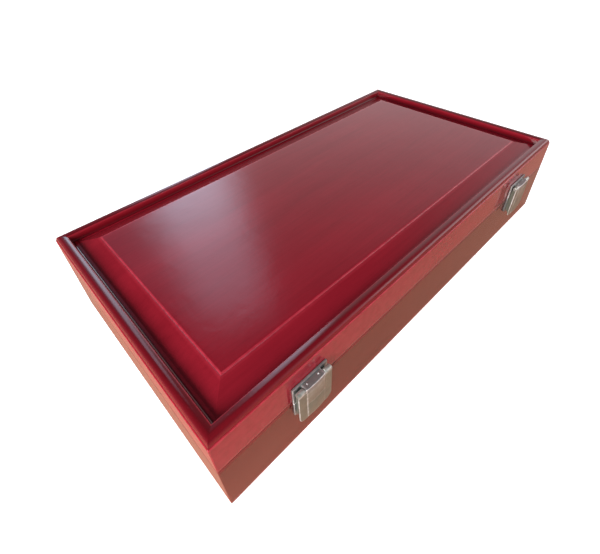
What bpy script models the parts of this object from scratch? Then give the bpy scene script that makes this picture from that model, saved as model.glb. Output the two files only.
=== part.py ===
"""Poker chip case: a lacquered wooden case with a moulded lid, two latches, two hinges and two lift-out chip trays.

Metres, +Z up. The case stands on z = 0 with its latches towards -Y and its length along X.
Every shape is written in the case's own coordinates, where y = 0 is midway between the front and
back boards. The empty "case" shifts them so that the origin is the centre of the whole footprint.
A profile is a list of (inset, height): inset is measured inward from the outer face of the boards.
"""

import math

import bmesh
import bpy
from mathutils import Matrix, Vector

# Driving dimensions
LENGTH = 0.500
WIDTH = 0.263
WALL = 0.012
SEAM_Z = 0.0605
MOULDING_Z = 0.0942
CROWN_RISE = 0.0043
PANEL_INSET = 0.0327
PANEL_RISE = 0.0029
GAP = 0.0003
SEAM_GAP = 0.0004
MITRE_GAP = 0.00015

# Base
BOTTOM_THICK = 0.005
BOTTOM_REBATE = 0.006
FELT_THICK = 0.001
BASE_TOP = SEAM_Z - SEAM_GAP / 2
FLOOR_Z = BOTTOM_THICK + FELT_THICK + 2 * GAP

# Lid
LID_BOTTOM = SEAM_Z + SEAM_GAP / 2
CROWN_Z = MOULDING_Z + CROWN_RISE
SHOULDER_RUN = 0.0055
CROWN_END = 0.0078
INNER_EDGE = 0.0093
INNER_FOOT = 0.0108
GROOVE_Z = MOULDING_Z - 0.0033
GROOVE_END = 0.0145
PANEL_BOTTOM = MOULDING_Z - 0.0091
TONGUE_TOP = MOULDING_Z - 0.0054
TONGUE_INSET = 0.0078
PANEL_EDGE = 0.0122
LINING_THICK = 0.003

# Rear hinges
HINGE_X = 0.165
HINGE_PIN_RADIUS = 0.0010
HINGE_BORE_RADIUS = 0.0012
KNUCKLE_RADIUS = 0.0024
KNUCKLE_LENGTH = 0.012
KNUCKLE_GAP = 0.0005
HINGE_OUT = 0.0026
LEAF_THICK = 0.0009
LEAF_DEPTH = 0.0095
LEAF_LENGTH = 3 * KNUCKLE_LENGTH + 2 * KNUCKLE_GAP
HINGE_Y = WIDTH / 2 + HINGE_OUT

# Latches, measured outward from the front face
LATCH_X = 0.169
PLATE_THICK = 0.0017
PLATE_WIDTH = 0.034
LID_PLATE_TOP = 0.0782
BASE_PLATE_BOTTOM = 0.0402
LATCH_PIN_OUT = 0.0054
LATCH_PIN_Z = 0.0750
LATCH_PIN_RADIUS = 0.0010
LATCH_BORE_RADIUS = 0.00125
TONGUE_RADIUS = 0.0026
TONGUE_HALF = 0.0097
SHOULDER_RADIUS = 0.0024
SHOULDER_START = 0.0100
COVER_HALF = 0.0167
COVER_BOTTOM = 0.0372
COVER_INNER = 0.0062
COVER_FRONT = 0.0074
COVER_RAISED = 0.0081
COVER_CORNER = 0.006
FLANGE_THICK = 0.0012
CREASE_Z = 0.0568

# Chip trays
CHIP_PITCH = 0.045
CHANNELS = 5
CHANNEL_LENGTH = 0.168
END_THICK = 0.006
END_TOP = 0.054
TRAY_FLOOR_THICK = 0.004
RIB_HEIGHT = 0.020
RIB_FOOT_HALF = 0.0065
RIB_TOP_HALF = 0.0020
RAIL_THICK = 0.006
TRAY_CLEARANCE = 0.001
NOTCH_TOP_HALF = 0.018
NOTCH_FOOT_HALF = 0.012
NOTCH_DEPTH = 0.009

# Fixed dividers
DIVIDER_THICK = 0.005
DIVIDER_TOP = 0.052
DIVIDER_CLEARANCE = 0.0015
CARD_WELL = 0.070

# Countersunk screws
SCREW_HEAD_RADIUS = 0.0021
SCREW_SHANK_RADIUS = 0.0011
SCREW_HEAD_DEPTH = 0.0010
SCREW_LENGTH = 0.009

MATERIALS = {
    "lacquer": ((0.28, 0.012, 0.022), 0.16, 0.0),
    "base_lacquer": ((0.26, 0.040, 0.026), 0.18, 0.0),
    "nickel": ((0.55, 0.53, 0.50), 0.28, 1.0),
    "hinge_steel": ((0.50, 0.49, 0.47), 0.32, 1.0),
    "tray_wood": ((0.24, 0.030, 0.024), 0.35, 0.0),
    "bottom_board": ((0.20, 0.040, 0.028), 0.60, 0.0),
    "felt": ((0.012, 0.085, 0.040), 0.95, 0.0),
}


def clear_scene():
    for obj in list(bpy.data.objects):
        bpy.data.objects.remove(obj, do_unlink=True)


def material(name):
    found = bpy.data.materials.get(name)
    if found:
        return found
    colour, roughness, metallic = MATERIALS[name]
    made = bpy.data.materials.new(name)
    made.use_nodes = True
    shader = made.node_tree.nodes["Principled BSDF"]
    shader.inputs["Base Color"].default_value = (*colour, 1.0)
    shader.inputs["Roughness"].default_value = roughness
    shader.inputs["Metallic"].default_value = metallic
    return made


def empty(name, place, parent=None):
    """An empty at a place in the case's coordinates: a body's origin, on its joint's axis."""
    made = bpy.data.objects.new(name, None)
    bpy.context.collection.objects.link(made)
    made.parent = parent
    made["place"] = list(place)
    made.location = Vector(place) - (Vector(parent["place"]) if parent and "place" in parent else Vector())
    return made


def add(name, mesh_data, slot, body):
    """An object made of a bmesh in the case's coordinates, with its origin on its body's empty."""
    bmesh.ops.recalc_face_normals(mesh_data, faces=mesh_data.faces)
    bmesh.ops.translate(mesh_data, verts=mesh_data.verts, vec=-Vector(body["place"]))
    mesh = bpy.data.meshes.new(name)
    mesh_data.to_mesh(mesh)
    mesh_data.free()
    mesh.materials.append(material(slot))
    obj = bpy.data.objects.new(name, mesh)
    bpy.context.collection.objects.link(obj)
    obj.parent = body
    return obj


def smooth(obj):
    obj.data.shade_smooth()
    obj.data.set_sharp_from_angle(angle=math.radians(35))


def combine(obj, helper, operation):
    """Joins a helper to an object, or cuts it away, and keeps the helper out of the model."""
    helper.hide_render = True
    helper.display_type = "WIRE"
    modifier = obj.modifiers.new(helper.name, "BOOLEAN")
    modifier.operation = operation
    modifier.solver = "EXACT"
    modifier.object = helper


def loft(mesh_data, loops):
    """A closed body through loops of equally many points, with a face on the first and last loop."""
    rings = [[mesh_data.verts.new(point) for point in loop] for loop in loops]
    count = len(rings[0])
    for low, high in zip(rings, rings[1:]):
        for i in range(count):
            mesh_data.faces.new((low[i], low[(i + 1) % count], high[(i + 1) % count], high[i]))
    mesh_data.faces.new(rings[0])
    mesh_data.faces.new(rings[-1])


def prism(mesh_data, outline, axis, start, end):
    """An outline extruded along X, Y or Z. Its points are the other two coordinates, in order."""

    def point(pair, along):
        values = list(pair)
        values.insert("XYZ".index(axis), along)
        return tuple(values)

    loft(mesh_data, [[point(pair, start) for pair in outline], [point(pair, end) for pair in outline]])


def box(mesh_data, low, high):
    outline = [(low[0], low[1]), (high[0], low[1]), (high[0], high[1]), (low[0], high[1])]
    prism(mesh_data, outline, "Z", low[2], high[2])


def arc(centre, radii, start, end, steps):
    """Points on an ellipse between two angles in degrees."""
    points = []
    for i in range(steps + 1):
        angle = math.radians(start + (end - start) * i / steps)
        points.append((centre[0] + radii[0] * math.cos(angle), centre[1] + radii[1] * math.sin(angle)))
    return points


def turned(mesh_data, profile, origin, direction, steps):
    """A solid of revolution. The profile's (radius, distance) pairs run along the direction."""
    turn = Vector((0, 0, 1)).rotation_difference(Vector(direction)).to_matrix().to_4x4()
    place = Matrix.Translation(Vector(origin)) @ turn
    loops = []
    for radius, along in profile:
        ring = arc((0.0, 0.0), (radius, radius), 0, 360 * (steps - 1) / steps, steps - 1)
        loops.append([place @ Vector((x, y, along)) for x, y in ring])
    loft(mesh_data, loops)


def mitred_rail(mesh_data, profile, side):
    """A board along one side of the case, 0 front, 1 right, 2 back, 3 left, mitred at both ends."""
    along, across = (LENGTH / 2, WIDTH / 2) if side % 2 == 0 else (WIDTH / 2, LENGTH / 2)
    turn = Matrix.Rotation(math.radians(90 * side), 4, "Z")
    ends = []
    for end in (-1, 1):
        loop = [(end * (along - inset - MITRE_GAP), inset - across, height) for inset, height in profile]
        ends.append([turn @ Vector(point) for point in loop])
    loft(mesh_data, ends)


def inset_rectangle(inset, height):
    x = LENGTH / 2 - inset
    y = WIDTH / 2 - inset
    return [(-x, -y, height), (x, -y, height), (x, y, height), (-x, y, height)]


def screw_profile(extra):
    head = SCREW_HEAD_RADIUS + extra
    shank = SCREW_SHANK_RADIUS + extra
    return [(head, -extra), (shank, SCREW_HEAD_DEPTH), (shank, SCREW_LENGTH + extra)]


def add_screw(name, origin, direction, slot, body, cut_from):
    """A countersunk screw with its head's face at the origin, and its hole in what it passes through."""
    mesh_data = bmesh.new()
    turned(mesh_data, screw_profile(0.0), origin, direction, 10)
    smooth(add(name, mesh_data, slot, body))
    for target in cut_from:
        hole_data = bmesh.new()
        turned(hole_data, screw_profile(GAP), origin, direction, 10)
        combine(target, add(name + "_hole_in_" + target.name, hole_data, slot, body), "DIFFERENCE")


def build_base(body):
    profile = [
        (0.0, 0.0),
        (0.0, BASE_TOP),
        (WALL, BASE_TOP),
        (WALL, BOTTOM_THICK + GAP),
        (BOTTOM_REBATE, BOTTOM_THICK + GAP),
        (BOTTOM_REBATE, 0.0),
    ]
    boards = {}
    for side, word in enumerate(("front", "right", "back", "left")):
        mesh_data = bmesh.new()
        mitred_rail(mesh_data, profile, side)
        boards[word] = add(f"base_{word}_board", mesh_data, "base_lacquer", body)
    mesh_data = bmesh.new()
    inset = BOTTOM_REBATE + GAP
    loft(mesh_data, [inset_rectangle(inset, 0.0), inset_rectangle(inset, BOTTOM_THICK)])
    add("base_bottom_panel", mesh_data, "bottom_board", body)
    mesh_data = bmesh.new()
    felt_bottom = BOTTOM_THICK + GAP
    inset = WALL + GAP
    loft(mesh_data, [inset_rectangle(inset, felt_bottom), inset_rectangle(inset, felt_bottom + FELT_THICK)])
    add("base_floor_felt", mesh_data, "felt", body)
    return boards


def lid_profile():
    shoulder = arc((SHOULDER_RUN, MOULDING_Z), (SHOULDER_RUN, CROWN_RISE), 180, 90, 5)
    round_run = INNER_EDGE - CROWN_END
    inner_round = arc((CROWN_END, CROWN_Z - round_run), (round_run, round_run), 90, 15, 3)
    return [
        (0.0, LID_BOTTOM),
        *shoulder,
        *inner_round,
        (INNER_FOOT, GROOVE_Z + GAP),
        (WALL, GROOVE_Z),
        (WALL, TONGUE_TOP + GAP),
        (TONGUE_INSET - GAP, TONGUE_TOP + GAP),
        (TONGUE_INSET - GAP, PANEL_BOTTOM - GAP),
        (WALL, PANEL_BOTTOM - GAP),
        (WALL, LID_BOTTOM),
    ]


def build_lid(body):
    rails = {}
    for side, word in enumerate(("front", "right", "back", "left")):
        mesh_data = bmesh.new()
        mitred_rail(mesh_data, lid_profile(), side)
        rails[word] = add(f"lid_{word}_rail", mesh_data, "lacquer", body)
        smooth(rails[word])
    mesh_data = bmesh.new()
    panel = [
        (TONGUE_INSET, PANEL_BOTTOM),
        (TONGUE_INSET, TONGUE_TOP),
        (PANEL_EDGE, TONGUE_TOP),
        (PANEL_EDGE, GROOVE_Z),
        (GROOVE_END, GROOVE_Z),
        (PANEL_INSET, MOULDING_Z + PANEL_RISE),
    ]
    loft(mesh_data, [inset_rectangle(inset, height) for inset, height in panel])
    add("lid_raised_panel", mesh_data, "lacquer", body)
    mesh_data = bmesh.new()
    inset = WALL + GAP
    lining_top = PANEL_BOTTOM - GAP
    loft(mesh_data, [inset_rectangle(inset, lining_top - LINING_THICK), inset_rectangle(inset, lining_top)])
    add("lid_lining", mesh_data, "felt", body)
    return rails


def build_hinge(word, x, base, lid, back_board, back_rail):
    """A butt hinge: the base leaf has the two outer knuckles, the lid leaf has the middle one."""
    pitch = KNUCKLE_LENGTH + KNUCKLE_GAP
    leaves = (
        ("base_leaf", base, back_board, -1, (-pitch, pitch)),
        ("lid_leaf", lid, back_rail, 1, (0.0,)),
    )
    for kind, body, wood, up, knuckles in leaves:
        near = SEAM_Z + up * SEAM_GAP / 2
        far = near + up * LEAF_THICK
        low, high = min(near, far), max(near, far)
        start = WIDTH / 2 - LEAF_DEPTH
        mesh_data = bmesh.new()
        box(mesh_data, (x - LEAF_LENGTH / 2, start, low), (x + LEAF_LENGTH / 2, WIDTH / 2 - 0.0001, high))
        leaf = add(f"hinge_{word}_{kind}", mesh_data, "hinge_steel", body)
        barrel_data = bmesh.new()
        neck_data = bmesh.new()
        for offset in knuckles:
            left = x + offset - KNUCKLE_LENGTH / 2
            right = left + KNUCKLE_LENGTH
            ring = [(KNUCKLE_RADIUS, 0.0), (KNUCKLE_RADIUS, KNUCKLE_LENGTH)]
            turned(barrel_data, ring, (left, HINGE_Y, SEAM_Z), (1, 0, 0), 16)
            neck = [(WIDTH / 2 - 0.001, low), (HINGE_Y, low), (HINGE_Y, high), (WIDTH / 2 - 0.001, high)]
            prism(neck_data, neck, "X", left + 0.0002, right - 0.0002)
        combine(leaf, add(f"{leaf.name}_necks", neck_data, "hinge_steel", body), "UNION")
        combine(leaf, add(f"{leaf.name}_knuckles", barrel_data, "hinge_steel", body), "UNION")
        bore_data = bmesh.new()
        bore = [(HINGE_BORE_RADIUS, 0.0), (HINGE_BORE_RADIUS, LEAF_LENGTH + 0.002)]
        turned(bore_data, bore, (x - LEAF_LENGTH / 2 - 0.001, HINGE_Y, SEAM_Z), (1, 0, 0), 12)
        combine(leaf, add(f"{leaf.name}_bore", bore_data, "hinge_steel", body), "DIFFERENCE")
        recess_data = bmesh.new()
        margin = LEAF_LENGTH / 2 + GAP
        recess = (SEAM_Z, far + up * GAP)
        box(
            recess_data,
            (x - margin, start - GAP, min(recess)),
            (x + margin, WIDTH / 2 + 0.002, max(recess)),
        )
        combine(wood, add(f"{leaf.name}_recess", recess_data, "hinge_steel", body), "DIFFERENCE")
        for side, sign in (("left", -1), ("right", 1)):
            place = (x + sign * pitch, WIDTH / 2 - 0.0055, near)
            name = f"hinge_{word}_{kind}_screw_{side}"
            add_screw(name, place, (0, 0, up), "hinge_steel", body, (leaf, wood))
    mesh_data = bmesh.new()
    pin = [(HINGE_PIN_RADIUS, 0.0), (HINGE_PIN_RADIUS, LEAF_LENGTH)]
    turned(mesh_data, pin, (x - LEAF_LENGTH / 2, HINGE_Y, SEAM_Z), (1, 0, 0), 12)
    smooth(add(f"hinge_{word}_pin", mesh_data, "hinge_steel", base))


def out(distance):
    """The y of a point at this distance out from the front face."""
    return -WIDTH / 2 - distance


def latch_lid_plate(word, x, body):
    """The back plate on the lid, and the tongue that carries the cover's pin."""
    half = PLATE_WIDTH / 2
    back = GAP
    front = GAP + PLATE_THICK
    mesh_data = bmesh.new()
    box(mesh_data, (x - half, out(front), LID_BOTTOM + GAP), (x + half, out(back), LID_PLATE_TOP))
    plate = add(f"latch_{word}_lid_plate", mesh_data, "nickel", body)
    tongue = [(out(back), LATCH_PIN_Z + TONGUE_RADIUS)]
    for forward, height in arc((LATCH_PIN_OUT, LATCH_PIN_Z), (TONGUE_RADIUS, TONGUE_RADIUS), 90, -90, 8):
        tongue.append((out(forward), height))
    tongue.append((out(back), LATCH_PIN_Z - TONGUE_RADIUS))
    tongue_data = bmesh.new()
    prism(tongue_data, tongue, "X", x - TONGUE_HALF, x + TONGUE_HALF)
    combine(plate, add(f"{plate.name}_tongue", tongue_data, "nickel", body), "UNION")
    return plate


def latch_base_plate(word, x, body):
    """The back plate on the base, with its lower corners cut and a ridge for the cover to snap over."""
    half = PLATE_WIDTH / 2
    corner = 0.004
    low = BASE_PLATE_BOTTOM
    high = BASE_TOP - 0.0001
    outline = [
        (x - half + corner, low),
        (x + half - corner, low),
        (x + half, low + corner),
        (x + half, high),
        (x - half, high),
        (x - half, low + corner),
    ]
    front = GAP + PLATE_THICK
    mesh_data = bmesh.new()
    prism(mesh_data, outline, "Y", out(front), out(GAP))
    plate = add(f"latch_{word}_base_plate", mesh_data, "nickel", body)
    ridge = [(out(front - 0.001), 0.0436), (out(0.0038), 0.0440), (out(0.0045), 0.0450), (out(front - 0.001), 0.0470)]
    ridge_data = bmesh.new()
    prism(ridge_data, ridge, "X", x - 0.006, x + 0.006)
    combine(plate, add(f"{plate.name}_ridge", ridge_data, "nickel", body), "UNION")
    return plate


def latch_cover(word, x, body):
    """The cover: a front with round lower corners, two shoulders on the pin, two flanges and a raised panel."""
    notch = SHOULDER_START
    notch_z = LATCH_PIN_Z - TONGUE_RADIUS - 0.0004
    low = COVER_BOTTOM
    round_z = low + COVER_CORNER
    round_x = COVER_HALF - COVER_CORNER
    corner = (COVER_CORNER, COVER_CORNER)
    outline = [
        *arc((-round_x, round_z), corner, 180, 270, 5),
        *arc((round_x, round_z), corner, 270, 360, 5),
        (COVER_HALF, LATCH_PIN_Z),
        (notch, LATCH_PIN_Z),
        (notch, notch_z),
        (-notch, notch_z),
        (-notch, LATCH_PIN_Z),
        (-COVER_HALF, LATCH_PIN_Z),
    ]
    mesh_data = bmesh.new()
    prism(mesh_data, [(x + u, z) for u, z in outline], "Y", out(COVER_FRONT), out(COVER_INNER))
    cover = add(f"latch_{word}_cover", mesh_data, "nickel", body)

    shoulders = bmesh.new()
    flanges = bmesh.new()
    width = COVER_HALF - SHOULDER_START
    for side in (-1, 1):
        ring = [(SHOULDER_RADIUS, 0.0), (SHOULDER_RADIUS, width)]
        start = x + (SHOULDER_START if side > 0 else -COVER_HALF)
        turned(shoulders, ring, (start, out(LATCH_PIN_OUT), LATCH_PIN_Z), (1, 0, 0), 20)
        back = GAP + PLATE_THICK + GAP
        flange = [
            (out(LATCH_PIN_OUT - 0.0022), LATCH_PIN_Z - 0.0002),
            (out(LATCH_PIN_OUT + 0.0015), LATCH_PIN_Z - 0.0002),
            (out(COVER_INNER + 0.0006), round_z + 0.001),
            (out(COVER_INNER), round_z - 0.0015),
            (out(back), round_z + 0.004),
            (out(back), LATCH_PIN_Z - 0.006),
        ]
        edge = x + side * COVER_HALF
        inner = x + side * (COVER_HALF - FLANGE_THICK)
        prism(flanges, flange, "X", min(edge, inner), max(edge, inner))
    combine(cover, add(f"{cover.name}_shoulders", shoulders, "nickel", body), "UNION")
    combine(cover, add(f"{cover.name}_flanges", flanges, "nickel", body), "UNION")

    raised = bmesh.new()
    panel_half = TONGUE_HALF - 0.0003
    crease = 0.00025
    for foot, head in ((COVER_BOTTOM + 0.0012, CREASE_Z - crease), (CREASE_Z + crease, notch_z - 0.0002)):
        outer = (x - panel_half, out(COVER_RAISED), foot)
        box(raised, outer, (x + panel_half, out(COVER_INNER + 0.0006), head))
    combine(cover, add(f"{cover.name}_raised_panel", raised, "nickel", body), "UNION")

    rib = [
        (out(COVER_INNER + 0.0006), 0.0416),
        (out(COVER_INNER + 0.0006), 0.0392),
        (out(0.0050), 0.0398),
        (out(0.0048), 0.0408),
    ]
    rib_data = bmesh.new()
    prism(rib_data, rib, "X", x - 0.006, x + 0.006)
    combine(cover, add(f"{cover.name}_rib", rib_data, "nickel", body), "UNION")
    return cover


def build_latch(word, x, base, lid, cover_body, front_board, front_rail):
    lid_plate = latch_lid_plate(word, x, lid)
    base_plate = latch_base_plate(word, x, base)
    cover = latch_cover(word, x, cover_body)
    start = x - COVER_HALF
    for target in (lid_plate, cover):
        bore_data = bmesh.new()
        bore = [(LATCH_BORE_RADIUS, -0.002), (LATCH_BORE_RADIUS, 2 * COVER_HALF + 0.002)]
        turned(bore_data, bore, (start, out(LATCH_PIN_OUT), LATCH_PIN_Z), (1, 0, 0), 12)
        combine(target, add(f"{target.name}_bore", bore_data, "nickel", target.parent), "DIFFERENCE")
    mesh_data = bmesh.new()
    pin = [(LATCH_PIN_RADIUS, 0.0002), (LATCH_PIN_RADIUS, 2 * COVER_HALF - 0.0002)]
    turned(mesh_data, pin, (start, out(LATCH_PIN_OUT), LATCH_PIN_Z), (1, 0, 0), 12)
    smooth(add(f"latch_{word}_pin", mesh_data, "nickel", lid))
    face = out(GAP + PLATE_THICK)
    lid_parts = (lid_plate, front_rail)
    base_parts = (base_plate, front_board)
    add_screw(f"latch_{word}_lid_plate_screw", (x, face, 0.0665), (0, 1, 0), "nickel", lid, lid_parts)
    add_screw(f"latch_{word}_base_plate_screw", (x, face, 0.0535), (0, 1, 0), "nickel", base, base_parts)


def build_dividers(body):
    """Two boards beside the trays and two between them, for two card wells and a dice well."""
    outer = tray_inner_end() - DIVIDER_CLEARANCE
    inner = outer - DIVIDER_THICK
    low = FLOOR_Z
    inside = WIDTH / 2 - WALL - GAP
    for word, side in (("left", -1), ("right", 1)):
        mesh_data = bmesh.new()
        left = min(side * outer, side * inner)
        right = max(side * outer, side * inner)
        box(mesh_data, (left, -inside, low), (right, inside, DIVIDER_TOP))
        add(f"well_divider_{word}", mesh_data, "tray_wood", body)
    back = inside
    for word in ("back", "front"):
        back -= CARD_WELL
        mesh_data = bmesh.new()
        reach = inner - GAP
        box(mesh_data, (-reach, back - DIVIDER_THICK, low), (reach, back, DIVIDER_TOP))
        add(f"well_cross_divider_{word}", mesh_data, "tray_wood", body)
        back -= DIVIDER_THICK


def tray_inner_end():
    return LENGTH / 2 - WALL - TRAY_CLEARANCE - CHANNEL_LENGTH - 2 * END_THICK


def build_tray(word, side, body):
    """One lift-out tray: a floor, two notched ends, two rails and the ribs between the channels."""
    low = FLOOR_Z
    floor_top = low + TRAY_FLOOR_THICK
    outer_end = LENGTH / 2 - WALL - TRAY_CLEARANCE
    x_low, x_high = sorted((side * outer_end, side * tray_inner_end()))
    half = CHIP_PITCH * CHANNELS / 2 - RIB_TOP_HALF + RAIL_THICK
    mesh_data = bmesh.new()
    reach = END_THICK + GAP
    box(mesh_data, (x_low + reach, -half, low), (x_high - reach, half, floor_top))
    add(f"tray_{word}_floor", mesh_data, "tray_wood", body)

    end_outline = [
        (-half, low),
        (half, low),
        (half, END_TOP),
        (NOTCH_TOP_HALF, END_TOP),
        (NOTCH_FOOT_HALF, END_TOP - NOTCH_DEPTH),
        (-NOTCH_FOOT_HALF, END_TOP - NOTCH_DEPTH),
        (-NOTCH_TOP_HALF, END_TOP),
        (-half, END_TOP),
    ]
    for end, start in (("left", x_low), ("right", x_high - END_THICK)):
        mesh_data = bmesh.new()
        prism(mesh_data, end_outline, "X", start, start + END_THICK)
        add(f"tray_{word}_{end}_end", mesh_data, "tray_wood", body)

    foot = floor_top + GAP
    top = foot + RIB_HEIGHT
    start = x_low + reach
    end = x_high - reach
    for name, direction in (("front", -1), ("back", 1)):
        inner_top = half - RAIL_THICK
        inner_foot = inner_top - (RIB_FOOT_HALF - RIB_TOP_HALF)
        outline = [(inner_foot, foot), (half, foot), (half, top), (inner_top, top)]
        mesh_data = bmesh.new()
        prism(mesh_data, [(direction * y, z) for y, z in outline], "X", start, end)
        add(f"tray_{word}_{name}_rail", mesh_data, "tray_wood", body)
    for number in range(1, CHANNELS):
        y = CHIP_PITCH * (number - CHANNELS / 2)
        outline = [
            (y - RIB_FOOT_HALF, foot),
            (y + RIB_FOOT_HALF, foot),
            (y + RIB_TOP_HALF, top),
            (y - RIB_TOP_HALF, top),
        ]
        mesh_data = bmesh.new()
        prism(mesh_data, outline, "X", start, end)
        add(f"tray_{word}_rib_{number}", mesh_data, "tray_wood", body)


def build_case():
    clear_scene()
    front_reach = COVER_RAISED
    back_reach = HINGE_OUT + KNUCKLE_RADIUS
    case = empty("case", (0.0, 0.0, 0.0))
    case.location = (0.0, (front_reach - back_reach) / 2, 0.0)
    base = empty("base_body", (0.0, 0.0, 0.0), case)
    lid = empty("lid_body", (0.0, HINGE_Y, SEAM_Z), case)
    boards = build_base(base)
    rails = build_lid(lid)
    for word, side in (("left", -1), ("right", 1)):
        build_hinge(word, side * HINGE_X, base, lid, boards["back"], rails["back"])
        x = side * LATCH_X
        cover_body = empty(f"latch_{word}_cover_body", (x, out(LATCH_PIN_OUT), LATCH_PIN_Z), lid)
        build_latch(word, x, base, lid, cover_body, boards["front"], rails["front"])
        tray_body = empty(f"tray_{word}_body", (side * (LENGTH / 4), 0.0, FLOOR_Z), base)
        build_tray(word, side, tray_body)
    build_dividers(base)


build_case()
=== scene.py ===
"""Looks of the poker chip case: lacquered mahogany, nickel latches, steel hinges, felt and wooden trays."""

import math

import bmesh
import bpy
from mathutils import Matrix, Vector


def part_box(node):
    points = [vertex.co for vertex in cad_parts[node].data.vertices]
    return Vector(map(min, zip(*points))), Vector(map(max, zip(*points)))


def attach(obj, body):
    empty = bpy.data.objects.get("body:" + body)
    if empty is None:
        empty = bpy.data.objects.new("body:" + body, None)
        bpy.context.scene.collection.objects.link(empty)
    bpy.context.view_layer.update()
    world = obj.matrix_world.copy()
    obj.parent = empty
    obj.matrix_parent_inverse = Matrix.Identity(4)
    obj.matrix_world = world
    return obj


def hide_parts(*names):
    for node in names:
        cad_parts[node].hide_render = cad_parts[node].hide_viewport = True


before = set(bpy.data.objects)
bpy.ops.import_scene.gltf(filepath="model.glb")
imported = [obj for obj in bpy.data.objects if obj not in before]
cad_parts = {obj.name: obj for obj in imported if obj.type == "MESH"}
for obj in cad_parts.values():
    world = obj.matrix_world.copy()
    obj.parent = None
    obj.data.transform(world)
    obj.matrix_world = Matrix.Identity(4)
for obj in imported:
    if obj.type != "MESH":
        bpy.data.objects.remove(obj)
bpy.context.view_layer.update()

MM = 0.001

# Sizes read from the frame
FRONT_LOW, FRONT_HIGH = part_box("lid_front_rail")
X_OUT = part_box("lid_right_rail")[1].x
Y_FRONT = FRONT_LOW.y
Y_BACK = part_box("lid_back_rail")[1].y
Y_MID = (Y_FRONT + Y_BACK) / 2
HALF_X = X_OUT
HALF_Y = (Y_BACK - Y_FRONT) / 2
LID_LOW = FRONT_LOW.z
CROWN = FRONT_HIGH.z
WALL = FRONT_HIGH.y - FRONT_LOW.y
CROWN_RISE = 4.3 * MM
MOULDING = CROWN - CROWN_RISE
PANEL_LOW, PANEL_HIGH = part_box("lid_raised_panel")
PANEL_TOP = PANEL_HIGH.z
BASE_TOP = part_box("base_front_board")[1].z
BOTTOM_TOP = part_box("base_bottom_panel")[1].z


# ---------------------------------------------------------------- shader helpers


class Shader:
    """A material's node tree, with short ways to add and join nodes."""

    def __init__(self, name):
        self.material = bpy.data.materials.new(name)
        self.material.use_nodes = True
        self.tree = self.material.node_tree
        self.bsdf = self.tree.nodes["Principled BSDF"]
        self.object_place = self.add("ShaderNodeTexCoord").outputs["Object"]

    def add(self, kind, **settings):
        made = self.tree.nodes.new(kind)
        for key, value in settings.items():
            setattr(made, key, value)
        return made

    def set(self, **values):
        for key, value in values.items():
            self.bsdf.inputs[key.replace("_", " ")].default_value = value

    def join(self, output, target):
        self.tree.links.new(output, target)

    def scaled(self, scale):
        mapping = self.add("ShaderNodeMapping")
        mapping.inputs["Scale"].default_value = scale
        self.join(self.object_place, mapping.inputs["Vector"])
        return mapping.outputs["Vector"]

    def noise(self, place, scale, detail=4.0, distortion=0.0, roughness=0.5):
        made = self.add("ShaderNodeTexNoise")
        made.inputs["Scale"].default_value = scale
        made.inputs["Detail"].default_value = detail
        made.inputs["Distortion"].default_value = distortion
        made.inputs["Roughness"].default_value = roughness
        self.join(place, made.inputs["Vector"])
        return made.outputs["Fac"]

    def range(self, value, low, high, to_low=0.0, to_high=1.0):
        made = self.add("ShaderNodeMapRange")
        for key, number in (("From Min", low), ("From Max", high), ("To Min", to_low), ("To Max", to_high)):
            made.inputs[key].default_value = number
        self.join(value, made.inputs["Value"])
        return made.outputs["Result"]

    def math(self, operation, first, second):
        made = self.add("ShaderNodeMath", operation=operation)
        for socket, value in zip(made.inputs, (first, second)):
            if isinstance(value, float):
                socket.default_value = value
            else:
                self.join(value, socket)
        return made.outputs[0]

    def mix(self, factor, first, second):
        """A colour between two, each a tuple or an output."""
        made = self.add("ShaderNodeMix", data_type="RGBA")
        for socket, value in ((made.inputs[0], factor), (made.inputs[6], first), (made.inputs[7], second)):
            if isinstance(value, (float, tuple)):
                socket.default_value = value if isinstance(value, float) else (*value, 1.0)
            else:
                self.join(value, socket)
        return made.outputs[2]

    def attribute(self, name):
        return self.add("ShaderNodeAttribute", attribute_name=name).outputs["Fac"]

    def bump(self, height, strength, distance, under=None):
        made = self.add("ShaderNodeBump")
        made.inputs["Strength"].default_value = strength
        made.inputs["Distance"].default_value = distance
        self.join(height, made.inputs["Height"])
        if under:
            self.join(under, made.inputs["Normal"])
        return made.outputs["Normal"]


def grain_scale(axis, along, across):
    """A stretch of the texture space that lays the grain along one axis."""
    return tuple(along if name == axis else across for name in "XYZ")


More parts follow.
